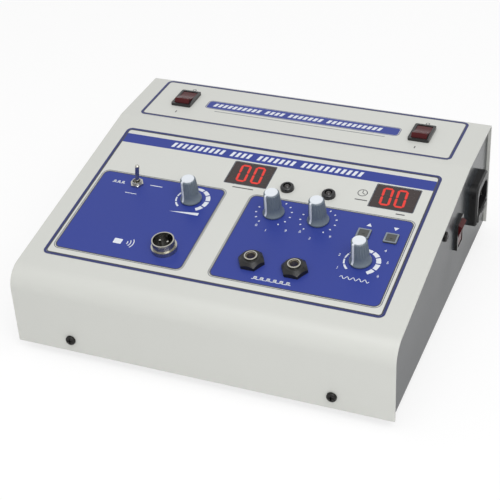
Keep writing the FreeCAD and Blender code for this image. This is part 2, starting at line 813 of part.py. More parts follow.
def make_inlet():
    half_x = inlet_flange[0] / 2
    half_y = inlet_flange[1] / 2
    corners = [V(-half_x, -half_y), V(half_x, -half_y), V(half_x, half_y), V(-half_x, half_y)]
    radii = [inlet_lower_corner] * 2 + [inlet_upper_corner] * 2
    flange = prism(corners, radii, V(0, 0, inlet_proud))
    flange = flange.makeChamfer(inlet_bevel, flange.Faces[-1].Edges)
    body = fuse_all([flange, block(*inlet_body, -inlet_depth, 0)])
    recess_floor = inlet_proud - recess_depth
    body = body.cut(recess_shape(recess_floor, 10))
    bay = block(
        drawer_size[0] + 2 * drawer_gap,
        drawer_size[1] + 2 * drawer_gap,
        inlet_proud - drawer_depth - 2,
        10,
        0,
        drawer_offset,
    )
    body = body.cut(bay)
    for x, y in ((-blade_spread, blade_row), (blade_spread, blade_row), (0, earth_row)):
        y = y + recess_offset
        blade = block(*blade_size, -inlet_depth - 7, blade_top, x, y)
        slot = block(blade_size[0] + 0.04, blade_size[1] + 0.04, -inlet_depth - 1, recess_floor + 1, x, y)
        body = body.cut(slot)
        keep("inlet_blades", on_right(blade, *inlet_place))
    drawer = block(*drawer_size, inlet_proud - drawer_depth, inlet_proud + drawer_proud, 0, drawer_offset)
    pocket_x = fuse_length + 0.4
    pocket_z = 2 * fuse_radius + 0.4
    pocket_0 = inlet_proud - drawer_depth + 1.0
    pocket = block(pocket_x, 30, pocket_0, pocket_0 + pocket_z)
    grip_z = inlet_proud + drawer_proud
    grip = block(9.0, 1.6, grip_z - 1.5, grip_z + 1, 0, drawer_offset + 1.2)
    drawer = drawer.cut(pocket).cut(grip)
    fuse_z = pocket_0 + pocket_z / 2
    glass = Part.makeCylinder(
        fuse_radius, fuse_length, V(-fuse_length / 2, drawer_offset, fuse_z), V(1, 0, 0)
    )
    keep("mains_inlet", on_right(body, *inlet_place))
    keep("fuse_drawer", on_right(drawer, *inlet_place))
    keep("fuse", on_right(glass, *inlet_place))
    hole = block(inlet_body[0] + 0.4, inlet_body[1] + 0.4, -4, 4)
    cut_from("base_tray", on_right(hole, *inlet_place))


# ---- inside ----


def make_transformer():
    x, y = transformer_place
    size_x, size_y, size_z = core_size
    window_x, window_z = core_window
    leg = (size_x - 2 * window_x) / 3
    bottom = sheet + clamp_thickness
    middle = bottom + size_z / 2
    core = block(size_x, size_y, bottom, bottom + size_z)
    for side in (-1, 1):
        offset = side * (leg + window_x) / 2
        core = core.cut(
            block(window_x, size_y + 2, middle - window_z / 2, middle + window_z / 2, offset)
        )
    coil_z = window_z / 2 - coil_gap
    coil_x = leg + 2 * window_x - 2 * coil_gap
    coil = rounded_block(coil_x, size_y + 2 * coil_bulge, 4.0, middle - coil_z, middle + coil_z)
    coil = coil.cut(block(leg + 2 * coil_gap, size_y + 2 * coil_gap, 0, 100))
    inner_x = size_x / 2 + 0.1
    outer_x = inner_x + clamp_thickness
    roof_z = bottom + size_z + 0.1
    strap = block(2 * outer_x, size_y * 0.7, sheet, roof_z + clamp_thickness)
    strap = strap.cut(block(2 * inner_x, size_y, 0, roof_z))
    feet = []
    for side in (-1, 1):
        foot_x = side * (outer_x + clamp_foot / 2 - 0.5)
        foot = block(clamp_foot + 1, size_y * 0.7, sheet, sheet + clamp_thickness, foot_x)
        hole_x = side * (outer_x + clamp_foot / 2)
        feet.append(foot.cut(disc(screw_radius + screw_clearance, 0, 20, hole_x)))
        screw = moved(pan_screw(4.0), hole_x, 0, sheet + clamp_thickness)
        keep("mounting_screws", moved(screw, x, y))
        cut_from("base_tray", disc(screw_radius + thread_gap, -1, 3, x + hole_x, y))
    clamp = fuse_all([strap] + feet)
    keep("transformer_core", moved(core, x, y, 0))
    keep("transformer_coil", moved(coil, x, y, 0))
    keep("transformer_clamp", moved(clamp, x, y, 0))


def make_power_board():
    lower = sheet + power_board_lift
    top = lower + board_thickness
    board = box(*power_board_x, *power_board_y, lower, top)
    post = standoff(sheet, lower, screw_radius + thread_gap)
    screw = moved(pan_screw(5.0), 0, 0, top)
    for x in (power_board_x[0] + standoff_inset, power_board_x[1] - standoff_inset):
        for y in (power_board_y[0] + standoff_inset, power_board_y[1] - standoff_inset):
            board = board.cut(disc(screw_radius + screw_clearance, 0, 50, x, y))
            keep("board_standoffs", moved(post, x, y))
            keep("mounting_screws", moved(screw, x, y))
    keep("power_board", board)
    for x, y, radius, height in capacitor_places:
        keep("capacitors", disc(radius, top, top + height, x, y))
    size_x, size_y, size_z = heat_sink_size
    x, y = heat_sink_place
    fins = [block(2.5, size_y, top, top + size_z, x - size_x / 2 + 1.25, y)]
    pitch = (size_y - fin_thickness) / (fin_count - 1)
    for i in range(fin_count):
        fin_y = y - size_y / 2 + fin_thickness / 2 + pitch * i
        fins.append(block(size_x, fin_thickness, top, top + size_z, x, fin_y))
    keep("heat_sink", fuse_all(fins))
    ring = disc(inductor_radius, top, top + inductor_height, *inductor_place)
    keep("output_inductor", ring.cut(disc(inductor_bore, 0, 60, *inductor_place)))


# ---- assembly ----


def build():
    make_cover()
    make_tray()
    make_labels()
    make_case_screws()
    make_feet()
    make_controls()
    make_toggle()
    make_head_socket()
    make_jacks()
    make_indicators()
    make_buttons()
    make_displays()
    make_control_board()
    make_rocker_switches()
    make_inlet()
    make_transformer()
    make_power_board()
    for name, tools in cuts.items():
        nodes[name] = [nodes[name][0].cut(Part.makeCompound(tools))]


def export():
    os.makedirs("parts", exist_ok=True)
    solids = [solid for shapes in nodes.values() for shape in shapes for solid in shape.Solids]
    extent = Part.makeCompound(solids).BoundBox
    shift = V(-(extent.XMin + extent.XMax) / 2, -(extent.YMin + extent.YMax) / 2, -extent.ZMin)
    for name, shapes in nodes.items():
        solids = [solid for shape in shapes for solid in shape.Solids]
        whole = solids[0] if len(solids) == 1 else Part.makeCompound(solids)
        whole.translated(shift).exportStep("parts/" + name + ".step")
    return shift


build()
frame_shift = export()
print("nodes", len(nodes), "shift", tuple(round(c, 4) for c in frame_shift))
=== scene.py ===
# %% [markdown]
# # A bench-top therapy console
# The real object is a white sheet-metal wedge with a printed control overlay, four fluted knobs,
# two lit displays, sockets and rocker switches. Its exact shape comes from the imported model,
# which is loaded here as a fixed frame. This lesson gives every piece its finish and adds the
# printing and the lit digits.

# %% load the frame
import json
import math

import bpy
from mathutils import Matrix, Vector


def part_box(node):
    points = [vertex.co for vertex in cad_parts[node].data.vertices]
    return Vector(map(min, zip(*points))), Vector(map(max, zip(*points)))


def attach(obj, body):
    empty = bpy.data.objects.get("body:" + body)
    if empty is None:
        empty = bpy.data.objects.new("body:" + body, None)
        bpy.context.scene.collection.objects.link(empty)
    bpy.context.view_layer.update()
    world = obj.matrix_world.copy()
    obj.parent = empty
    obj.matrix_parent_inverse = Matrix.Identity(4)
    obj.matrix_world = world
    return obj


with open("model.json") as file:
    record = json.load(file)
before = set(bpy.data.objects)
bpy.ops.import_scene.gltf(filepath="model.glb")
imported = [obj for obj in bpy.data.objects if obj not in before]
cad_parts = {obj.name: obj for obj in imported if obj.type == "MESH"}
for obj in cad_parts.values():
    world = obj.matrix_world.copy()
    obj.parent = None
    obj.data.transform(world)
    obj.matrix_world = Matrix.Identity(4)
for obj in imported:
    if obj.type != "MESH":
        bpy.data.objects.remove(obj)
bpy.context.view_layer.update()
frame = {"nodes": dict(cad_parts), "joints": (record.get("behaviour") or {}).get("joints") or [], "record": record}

nodes = frame["nodes"]
record = frame["record"]
scene = bpy.context.scene
mm = 0.001

# %% [markdown]
# ## Two drawing boards
# Everything printed lies on one of two flat faces: the slope, or the level strip behind it. A
# matrix for each face lets the artwork be drawn flat in millimetres from the case's left edge and
# then be laid on the metal. The slope's direction is read from the axis of a knob, which stands
# square to the panel.

# %% find the slope and the strip
joints = {joint["name"]: joint for joint in frame["joints"]}
knob_joint = joints["intensity_turn"]
slope_normal = -Vector(knob_joint["axis"]).normalized()
slope_up = Vector((0, slope_normal.z, -slope_normal.y))
cover_low, cover_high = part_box("top_cover")
knob_foot = Vector(knob_joint["pos_m"])
rise = (knob_foot.y - cover_low.y) / slope_up.y
slope_corner = knob_foot - slope_up * rise
slope_corner.x = cover_low.x
label_low, label_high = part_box("power_label")
strip_t0 = 4.0
strip_corner = Vector((cover_low.x, label_low.y - strip_t0 * mm, cover_high.z))


def board(origin, up, normal):
    """A matrix from a flat drawing in metres to a face of the case."""
    right = Vector((1, 0, 0))
    columns = (right, up, normal, origin)
    return Matrix([[c[i] for c in columns] for i in range(3)] + [[0, 0, 0, 1]])


slope_board = board(slope_corner, slope_up, slope_normal)
strip_board = board(strip_corner, Vector((0, 1, 0)), Vector((0, 0, 1)))
label_top = 0.3
print("slope angle", round(math.degrees(math.asin(slope_up.z)), 2))

# %% [markdown]
# ## Shared surface effects
# Paint, film and moulded plastic are never one flat value. Three small node groups carry that:
# one lets a colour drift a little over the surface, one makes a fine relief for the Bump node,
# and one varies the roughness as handling does. Each material places them with its own numbers.

# %% helpers for node groups


def new_group(name, inputs, outputs):
    tree = bpy.data.node_groups.new(name, "ShaderNodeTree")
    for label, kind, value in inputs:
        socket = tree.interface.new_socket(name=label, in_out="INPUT", socket_type=kind)
        socket.default_value = value
    for label, kind in outputs:
        tree.interface.new_socket(name=label, in_out="OUTPUT", socket_type=kind)
    start = tree.nodes.new("NodeGroupInput")
    end = tree.nodes.new("NodeGroupOutput")
    return tree, start, end


def noise_in(tree, start, detail=3.0, stretch=None):
    """Noise in the object's own coordinates, scaled by the group's Scale input."""
    place = tree.nodes.new("ShaderNodeTexCoord")
    noise = tree.nodes.new("ShaderNodeTexNoise")
    noise.inputs["Detail"].default_value = detail
    source = place.outputs["Object"]
    if stretch:
        mapping = tree.nodes.new("ShaderNodeMapping")
        mapping.inputs["Scale"].default_value = stretch
        tree.links.new(source, mapping.inputs["Vector"])
        source = mapping.outputs["Vector"]
    tree.links.new(source, noise.inputs["Vector"])
    tree.links.new(start.outputs["Scale"], noise.inputs["Scale"])
    return noise.outputs["Fac"]


def spread(tree, source, low, high):
    """Maps the middle of a noise to the range low..high, which may be sockets."""
    span = tree.nodes.new("ShaderNodeMapRange")
    span.inputs["From Min"].default_value = 0.3
    span.inputs["From Max"].default_value = 0.7
    tree.links.new(source, span.inputs["Value"])
    tree.links.new(low, span.inputs["To Min"])
    tree.links.new(high, span.inputs["To Max"])
    return span.outputs["Result"]


# %% tone drift, handling and relief groups
FLOAT = "NodeSocketFloat"
COLOR = "NodeSocketColor"
grey = (0.5, 0.5, 0.5, 1.0)

tone_drift, start, end = new_group(
    "tone_drift",
    [("Scale", FLOAT, 20.0), ("Light", COLOR, grey), ("Dark", COLOR, grey)],
    [("Color", COLOR)],
)
drift = noise_in(tone_drift, start)
blend = tone_drift.nodes.new("ShaderNodeMix")
blend.data_type = "RGBA"
tone_drift.links.new(drift, blend.inputs["Factor"])
tone_drift.links.new(start.outputs["Dark"], blend.inputs["A"])
tone_drift.links.new(start.outputs["Light"], blend.inputs["B"])
tone_drift.links.new(blend.outputs["Result"], end.inputs["Color"])

handling, start, end = new_group(
    "handling",
    [("Scale", FLOAT, 40.0), ("Low", FLOAT, 0.3), ("High", FLOAT, 0.4)],
    [("Roughness", FLOAT)],
)
blotches = noise_in(handling, start, 4.0)
smudge = spread(handling, blotches, start.outputs["Low"], start.outputs["High"])
handling.links.new(smudge, end.inputs["Roughness"])

fine_relief, start, end = new_group(
    "fine_relief", [("Scale", FLOAT, 900.0)], [("Height", FLOAT)]
)
fine_relief.links.new(noise_in(fine_relief, start, 2.0), end.inputs["Height"])

brushed_relief, start, end = new_group(
    "brushed_relief", [("Scale", FLOAT, 900.0)], [("Height", FLOAT)]
)
lines = noise_in(brushed_relief, start, 2.0, stretch=(0.06, 1.0, 1.0))
brushed_relief.links.new(lines, end.inputs["Height"])
print("groups", [group.name for group in bpy.data.node_groups])

# %% [markdown]
# ## A finish from a few numbers
# Most finishes differ only in colour, gloss and grain. One function builds a complete material
# from those, so the list that follows reads like a paint chart. Colours are written as they look
# on a screen, from 0 to 255, and turned into linear light.

# %% the finish builder


def screen_color(red, green, blue):
    def linear(value):
        value = value / 255
        return value / 12.92 if value <= 0.04045 else ((value + 0.055) / 1.055) ** 2.4

    return (linear(red), linear(green), linear(blue), 1.0)


def shade(color, factor):
    return tuple(min(channel * factor, 1.0) for channel in color[:3]) + (1.0,)


def place_group(material, group, **values):
    node = material.node_tree.nodes.new("ShaderNodeGroup")
    node.node_tree = group
    for label, value in values.items():
        node.inputs[label].default_value = value
    return node


def finish(
    name,
    color,
    gloss=(0.35, 0.45),
    drift=0.05,
    drift_scale=18.0,
    grain=900.0,
    bump=0.05,
    metal=0.0,
    ior=1.5,
    relief=None,
):
    """A material with drifting colour, handled roughness and fine relief."""
    material = bpy.data.materials.new(name)
    material.use_nodes = True
    links = material.node_tree.links
    shader = material.node_tree.nodes["Principled BSDF"]
    color = screen_color(*color)
    tint = place_group(
        material,
        tone_drift,
        Scale=drift_scale,
        Light=shade(color, 1 + drift),
        Dark=shade(color, 1 - drift),
    )
    links.new(tint.outputs["Color"], shader.inputs["Base Color"])
    rough = place_group(material, handling, Scale=drift_scale * 2, Low=gloss[0], High=gloss[1])
    links.new(rough.outputs["Roughness"], shader.inputs["Roughness"])
    height = place_group(material, relief or fine_relief, Scale=grain)
    bumps = material.node_tree.nodes.new("ShaderNodeBump")
    bumps.inputs["Strength"].default_value = bump
    bumps.inputs["Distance"].default_value = 0.0002
    links.new(height.outputs["Height"], bumps.inputs["Height"])
    links.new(bumps.outputs["Normal"], shader.inputs["Normal"])
    shader.inputs["Metallic"].default_value = metal
    shader.inputs["IOR"].default_value = ior
    return material


# %% [markdown]
# ## The finishes of the bought-in parts and the case
# The cover is stove-enamelled in a warm white with a faint orange peel. The tray under it is a
# glossier dark grey, so that the surroundings mirror in it. The rest is moulded plastic, rubber,
# plated steel and brass.

# %% finishes by material slot
finishes = {
    "cover_paint": finish(
        "warm_white_enamel", (200, 201, 196), (0.34, 0.42), 0.012, 9, 1400, 0.10
    ),
    "tray_paint": finish(
        "grey_gloss_enamel", (42, 46, 50), (0.14, 0.22), 0.03, 9, 700, 0.03, ior=1.32
    ),
    "label_film": finish("overlay_film", (203, 204, 199), (0.38, 0.48), 0.012, 14, 2600, 0.10),
    "black_screw": finish(
        "blackened_screw", (34, 33, 32), (0.18, 0.34), 0.2, 300, 1500, 0.1, 0.6
    ),
    "plated_screw": finish(
        "zinc_plated", (176, 178, 180), (0.22, 0.36), 0.08, 200, 1800, 0.1, 1.0
    ),
    "rubber": finish("foot_rubber", (38, 38, 39), (0.65, 0.8), 0.1, 120, 1600, 0.3),
    "window_tint": finish(
        "tinted_window", (56, 47, 46), (0.22, 0.3), 0.10, 60, 3000, 0.05, ior=1.36
    ),
    "display_body": finish("display_moulding", (60, 60, 62), (0.4, 0.5), 0.06, 90, 1500, 0.1),
    "circuit_board": finish("board_resist", (24, 86, 52), (0.22, 0.34), 0.12, 160, 1200, 0.15),
    "brass": finish("turned_brass", (196, 160, 92), (0.24, 0.36), 0.08, 220, 1500, 0.1, 1.0),
    "pot_metal": finish("die_cast", (160, 161, 162), (0.3, 0.42), 0.08, 200, 1500, 0.15, 1.0),
    "plated_nut": finish("nickel_nut", (186, 184, 178), (0.16, 0.28), 0.07, 260, 1500, 0.12, 1.0),
    "toggle_metal": finish(
        "pressed_steel", (166, 166, 164), (0.28, 0.4), 0.07, 220, 1500, 0.12, 1.0
    ),
    "chrome": finish("nickel_chrome", (178, 176, 168), (0.14, 0.28), 0.06, 260, 1500, 0.08, 1.0),
    "black_plastic": finish(
        "black_moulding", (26, 26, 27), (0.26, 0.38), 0.14, 180, 1600, 0.2, ior=1.4
    ),
    "black_gloss": finish(
        "black_gloss_moulding", (26, 26, 27), (0.14, 0.24), 0.12, 160, 1200, 0.1
    ),
    "lamp_lens": finish("unlit_lens", (40, 36, 34), (0.05, 0.1), 0.12, 200, 900, 0.03),
    "button_plastic": finish("key_moulding", (66, 68, 68), (0.42, 0.55), 0.08, 260, 1500, 0.25),
    "rocker_red": finish("red_rocker", (70, 10, 14), (0.18, 0.28), 0.14, 160, 900, 0.06, ior=1.3),
    "core_steel": finish(
        "varnished_laminations", (70, 70, 74), (0.35, 0.5), 0.12, 200, 2200, 0.5
    ),
    "winding": finish("winding_tape", (196, 160, 60), (0.4, 0.55), 0.08, 160, 1200, 0.3),
    "clamp_steel": finish(
        "brushed_clamp", (170, 170, 168), (0.3, 0.42), 0.06, 160, 900, 0.2, 1.0,
        relief=brushed_relief,
    ),
    "sleeve": finish("capacitor_sleeve", (30, 44, 92), (0.2, 0.32), 0.08, 120, 1200, 0.1),
    "aluminium": finish(
        "extruded_fins", (166, 168, 170), (0.32, 0.44), 0.06, 160, 900, 0.2, 1.0,
        relief=brushed_relief,
    ),
    "ferrite": finish("ferrite_core", (54, 54, 58), (0.5, 0.62), 0.12, 200, 1800, 0.4),
    "knob_plastic": finish("knob_blue_grey", (101, 112, 121), (0.36, 0.48), 0.06, 160, 1600, 0.2),
    "cap_plastic": finish("pale_cap", (216, 221, 227), (0.3, 0.42), 0.02, 160, 1800, 0.12),
    "fuse_glass": finish("fuse_tube", (214, 218, 218), (0.05, 0.1), 0.03, 160, 900, 0.02),
}
fuse_shader = finishes["fuse_glass"].node_tree.nodes["Principled BSDF"]
fuse_shader.inputs["Transmission Weight"].default_value = 0.9
print("finishes", len(finishes))

# %% put them on the frame's nodes
for subpart in record["subparts"]:
    mesh = nodes[subpart["node"]].data
    mesh.materials.clear()
    mesh.materials.append(finishes[subpart["material_slot"]])
nodes["head_socket_pins"].data.materials[0] = finishes["plated_nut"]
print("finished nodes", len(record["subparts"]))

# %% [markdown]
# ## Printing ink
# The overlay is screen-printed from behind. Each ink is a very thin plate with its own outline,
# laid on the film, so that its edge stays crisp from any distance. A flat curve fills any
# outline, with holes where one loop lies inside another, and a small extrusion gives it
# thickness.

# %% ink helpers
ink_thickness = 0.04
layer_step = 0.03
inks = {
    "blue": finish("ink_blue", (48, 62, 139), (0.36, 0.46), 0.03, 16, 2600, 0.10, ior=1.32),
    "slate": finish("ink_slate", (50, 56, 104), (0.36, 0.46), 0.04, 40, 2600, 0.10, ior=1.32),
    "grey": finish("ink_grey", (78, 82, 92), (0.36, 0.46), 0.05, 60, 2600, 0.10, ior=1.32),
    "white": finish("ink_white", (214, 218, 226), (0.36, 0.46), 0.02, 60, 2600, 0.10),
    "dark": finish("ink_dark", (52, 52, 58), (0.36, 0.46), 0.06, 60, 2600, 0.10),
}


def rounded(x0, x1, y0, y1, radius, steps=8):
    """A rectangle's outline with round corners, in millimetres."""
    corners = ((x1, y1, 0), (x0, y1, 90), (x0, y0, 180), (x1, y0, 270))
    points = []
    for x, y, first in corners:
        cx = x - math.copysign(radius, x - (x0 + x1) / 2)
        cy = y - math.copysign(radius, y - (y0 + y1) / 2)
        for i in range(steps + 1):
            turn = math.radians(first + 90 * i / steps)
            points.append((cx + radius * math.cos(turn), cy + radius * math.sin(turn)))
    return points


def ring(x0, x1, y0, y1, radius, width):
    """The two loops of a rounded frame line of that width, drawn inwards."""
    inner = rounded(x0 + width, x1 - width, y0 + width, y1 - width, max(radius - width, 0.3))
    return [rounded(x0, x1, y0, y1, radius), inner]


def stroke(points, width):
    """The outline of a straight-jointed line through the points."""
    left, right = [], []
    for i, (x, y) in enumerate(points):
        before = points[max(i - 1, 0)]
        after = points[min(i + 1, len(points) - 1)]
        dx, dy = after[0] - before[0], after[1] - before[1]
        length = math.hypot(dx, dy)
        nx, ny = -dy / length * width / 2, dx / length * width / 2
        left.append((x + nx, y + ny))
        right.append((x - nx, y - ny))
    return left + right[::-1]


def flat_mesh(name, loops, thickness):
    """Fills closed loops of millimetre points and gives them thickness, standing on z = 0."""
    curve = bpy.data.curves.new(name, "CURVE")
    curve.dimensions = "2D"
    curve.fill_mode = "BOTH"
    curve.extrude = thickness * mm / 2
    for loop in loops:
        spline = curve.splines.new("POLY")
        spline.points.add(len(loop) - 1)
        for point, (x, y) in zip(spline.points, loop):
            point.co = (x * mm, y * mm, 0, 1)
        spline.use_cyclic_u = True
    return mesh_from(curve, thickness)


def mesh_from(curve, thickness):
    carrier = bpy.data.objects.new(curve.name, curve)
    scene.collection.objects.link(carrier)
    bpy.context.view_layer.update()
    evaluated = carrier.evaluated_get(bpy.context.evaluated_depsgraph_get())
    mesh = bpy.data.meshes.new_from_object(evaluated)
    bpy.data.objects.remove(carrier)
    mesh.transform(Matrix.Translation((0, 0, thickness * mm / 2)))
    return mesh


def lay(name, mesh, where, height, material, body="case"):
    """Makes a piece of the mesh, laid on a board at that height in millimetres."""
    mesh.transform(where @ Matrix.Translation((0, 0, height * mm)))
    mesh.materials.clear()
    mesh.materials.append(material)
    piece = bpy.data.objects.new(name, mesh)
    scene.collection.objects.link(piece)
    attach(piece, body)
    return piece


def print_ink(name, loops, ink, layer=0, where=None):
    """Prints loops on the overlay. A higher layer lies over a lower one."""
    base = label_top + layer_step * layer
    mesh = flat_mesh(name, loops, ink_thickness)
    return lay(name, mesh, where or slope_board, base, inks[ink])


# %% [markdown]
# ## The control overlay's panels
# A slate line with a dark lining runs round the overlay's edge. Inside it stand a blue header bar
# and two blue fields with a thin outline each, left for ultrasound and right for stimulation.

# %% borders, header and fields
label_x0, label_x1 = 12.0, 235.8
label_s0, label_s1 = 22.7, 154.5
border, border_radius = 1.6, 4.0
lining, lining_radius = 0.8, 2.6
header_s0, header_s1 = 139.0, 148.4


def inset(x0, x1, y0, y1, step):
    """A rectangle moved inwards by the step on all four sides."""
    return x0 + step, x1 - step, y0 + step, y1 - step


label_edge = (label_x0, label_x1, label_s0, label_s1)
print_ink("border_outer", ring(*label_edge, border_radius, border), "slate")
print_ink("border_lining", ring(*inset(*label_edge, border), lining_radius, lining), "dark")
inside = border + lining
header = rounded(label_x0 + inside, label_x1 - inside, header_s0, header_s1, 0.3)
print_ink("header_bar", [header], "blue")
fields = {"left": (15.8, 105.4, 29.0, 108.6), "right": (121.4, 231.6, 29.6, 108.6)}
for side, edge in fields.items():
    print_ink("field_" + side, [rounded(*inset(*edge, 1.6), 3.6)], "blue")
    print_ink("outline_" + side, ring(*inset(*edge, 0.9), 4.2, 0.7), "dark")
    print_ink("outline_outer_" + side, ring(*edge, 4.8, 0.45), "grey")
print("printed fields", list(fields))

# %% [markdown]
# ## Hatching in place of lettering
# The header and the strip's badge carry a plain hatch of slanted bars. It fills the space that a
# title would take, and says nothing.

# %% header and badge hatch
group_gap = 2.2  # how much wider the gap between two groups is


def hatch(x0, x1, y0, y1, bar, gap, slant, groups):
    """Slanted bars from x0 to x1, with a wider gap after each count in groups."""
    loops = []
    x = x0
    for count in groups:
        for _ in range(count):
            if x + bar > x1:
                return loops
            lean = slant * (y1 - y0)
            loops.append([(x, y0), (x + bar, y0), (x + bar + lean, y1), (x + lean, y1)])
            x += bar + gap
        x += gap * group_gap
    return loops


title_groups = (10, 4, 7, 11)
bar_slant = 0.3
header_hatch = hatch(50.0, 190.0, 141.4, 146.2, 2.2, 1.7, bar_slant, title_groups)
print_ink("header_hatch", header_hatch, "white", 1)
badge = (53.8, 193.5, 25.4, 34.9)
print_ink("badge", [rounded(*badge, 2.2)], "blue", 0, strip_board)
print_ink("badge_line", ring(52.9, 194.4, 24.5, 35.8, 3.0, 0.5), "slate", 0, strip_board)
badge_hatch = hatch(58.0, 189.0, 28.0, 32.4, 2.3, 1.3, bar_slant, title_groups)
print_ink("badge_hatch", badge_hatch, "white", 1, strip_board)
print_ink("badge_rule", [stroke([(62.0, 21.6), (186.0, 21.6)], 0.5)], "grey", 0, strip_board)

# %% strip border and switch marks
strip_t1 = (label_high.y - label_low.y) / mm + strip_t0
strip_edge = (label_x0, label_x1, strip_t0, strip_t1)
strip_border = ring(*strip_edge, border_radius, border)
strip_lining = ring(*inset(*strip_edge, border), lining_radius, 0.5)
print_ink("strip_border", strip_border, "slate", 0, strip_board)
print_ink("strip_lining", strip_lining, "dark", 0, strip_board)
for side, x in (("left", 36.0), ("right", 209.0)):
    on_mark = [rounded(x - 0.35, x + 0.35, 12.4, 15.2, 0.2)]
    off_mark = ring(x - 1.4, x + 1.4, 45.4, 48.2, 1.4, 0.5)
    print_ink("on_mark_" + side, on_mark, "dark", 0, strip_board)
    print_ink("off_mark_" + side, off_mark, "dark", 0, strip_board)
print("strip printed to", round(strip_t1, 1))

# %% [markdown]
# ## Scales round the knobs
# The two large knobs turn inside a white crescent cut into ten blocks: its inner and outer
# circles are not concentric, so it swells towards the high end. The channel knobs have a ring of
# short ticks.

# %% scales
places = {
    "intensity": (85.2, 93.6),
    "channel_1": (142.0, 94.1),
    "channel_2": (171.8, 94.1),
    "frequency": (208.5, 65.3),
}
first_turn = 236.0
sweep = 292.0
tick_count = 13


def crescent(x, y, count=10, inner=9.5, outer=11.5, shift=1.0, gap=5.0):
    """Blocks between an inner circle and a shifted outer one, clockwise from the low end."""
    loops = []
    step = sweep / count
    for i in range(count):
        near, far = [], []
        for j in range(7):
            turn = math.radians(first_turn - step * i - gap / 2 - (step - gap) * j / 6)
            c, s = math.cos(turn), math.sin(turn)
            reach = shift * c + math.sqrt(outer**2 - (shift * s) ** 2)
            near.append((x + inner * c, y + inner * s))
            far.append((x + reach * c, y + reach * s))
        loops.append(near + far[::-1])
    return loops


def ticks(x, y, count, radius, length, width):
    loops = []
    for i in range(count):
        turn = math.radians(first_turn - sweep * i / (count - 1))
        c, s = math.cos(turn), math.sin(turn)
        start = (x + radius * c, y + radius * s)
        loops.append(stroke([start, (x + (radius + length) * c, y + (radius + length) * s)], width))
    return loops


for name in ("intensity", "frequency"):
    print_ink("scale_" + name, crescent(*places[name]), "white", 1)
for name in ("channel_1", "channel_2"):
    print_ink("scale_" + name, ticks(*places[name], tick_count, 10.9, 1.2, 0.8), "white", 1)

# %% numerals
size_to_digit = 1.4  # a font's size is larger than the height of its digits
numeral_height = 2.2


def number(text, x, y, size):
    """A plain white numeral on the slope, centred on x, y."""
    curve = bpy.data.curves.new("number_" + text, "FONT")
    curve.body = text
    curve.size = size * mm * size_to_digit
    curve.align_x = "CENTER"
    curve.align_y = "CENTER"
    curve.extrude = ink_thickness * mm / 2
    mesh = mesh_from(curve, ink_thickness)
    mesh.transform(Matrix.Translation((x * mm, y * mm, 0)))
    name = "number_%s_%d_%d" % (text, round(x), round(y))
    return lay(name, mesh, slope_board, label_top + layer_step, inks["white"])


for text, x, s in (
    ("1", 196.6, 56.6), ("2", 194.4, 68.0), ("4", 220.4, 78.0),
    ("5", 224.6, 68.2), ("6", 222.4, 55.6),
    ("0", 135.2, 80.6), ("9", 155.0, 80.0), ("0", 164.0, 81.4), ("9", 183.6, 81.6),
    ("1", 142.6, 77.4), ("2", 171.8, 77.2),
):
    number(text, x, s, numeral_height)

# %% [markdown]
# ## Small pictograms
# Where a real panel has captions, plain signs do the work: pulses and a steady line beside the
# toggle, a wedge for a level, a wave for frequency, arrows for up and down, and a clock face by
# the timer.

# %% pictograms


def square_wave(x, y, pitch, height, count, width):
    points = [(x, y)]
    for i in range(count):
        left = x + i * pitch
        points += [(left + pitch * 0.3, y), (left + pitch * 0.3, y + height)]
        points += [(left + pitch * 0.7, y + height), (left + pitch * 0.7, y)]
    points.append((x + count * pitch, y))
    return [stroke(points[i : i + 2], width) for i in range(len(points) - 1)]


def wave(x, y, length, height, turns, width):
    count = 12 * turns
    points = []
    for i in range(count + 1):
        swing = math.sin(2 * math.pi * turns * i / count)
        points.append((x + length * i / count, y + height * swing))
    return [stroke(points, width)]


def circle(x, y, radius, width, count=32):
    loops = []
    for r in (radius, radius - width):
        turns = [2 * math.pi * i / count for i in range(count)]
        loops.append([(x + r * math.cos(t), y + r * math.sin(t)) for t in turns])
    return loops


print_ink("sign_pulse", square_wave(26.4, 97.6, 3.0, 2.0, 3, 0.4), "white", 1)
print_ink("sign_steady", [stroke([(53.0, 100.2), (61.6, 100.2)], 0.6)], "white", 1)
print_ink("sign_mode", [stroke([(39.4, 89.6), (47.6, 89.6)], 0.5)], "white", 1)
print_ink("sign_level", [[(75.6, 79.6), (95.4, 79.6), (95.4, 82.2)]], "white", 1)
print_ink("sign_frequency", wave(200.4, 49.6, 18.4, 1.1, 5, 0.45), "white", 1)
print_ink("sign_stimulation", square_wave(149.4, 34.6, 4.2, 2.2, 6, 0.45), "white", 1)
arcs = []
for radius in (2.0, 4.0, 6.0):
    turns = [math.radians(-38 + 76 * j / 8) for j in range(9)]
    arc = [(60.0 + radius * math.cos(t), 44.8 + radius * math.sin(t)) for t in turns]
    arcs.append(stroke(arc, 0.6))
print_ink("sign_ultrasound", arcs + [rounded(52.4, 58.0, 42.6, 47.0, 0.6)], "white", 1)
print_ink("sign_up", [[(202.3, 97.0), (205.7, 97.0), (204.0, 99.8)]], "white", 1)
print_ink("sign_down", [[(219.3, 99.8), (222.7, 99.8), (221.0, 97.0)]], "white", 1)
clock = circle(190.6, 126.6, 3.3, 0.55)
print_ink("clock_face", clock, "dark")
print_ink("clock_hands", [stroke([(190.6, 129.0), (190.6, 126.6), (192.4, 125.4)], 0.5)], "dark")
print_ink("timer_rule", [stroke([(187.4, 119.8), (195.6, 119.8)], 0.8)], "dark")
print_ink("unit_output", [stroke([(106.6, 112.2), (121.0, 112.2)], 0.8)], "dark")
print_ink("unit_timer", [stroke([(216.6, 112.2), (222.4, 112.2)], 0.9)], "dark")
window_row = 126.4
half_width, half_height = 14.9, 11.4
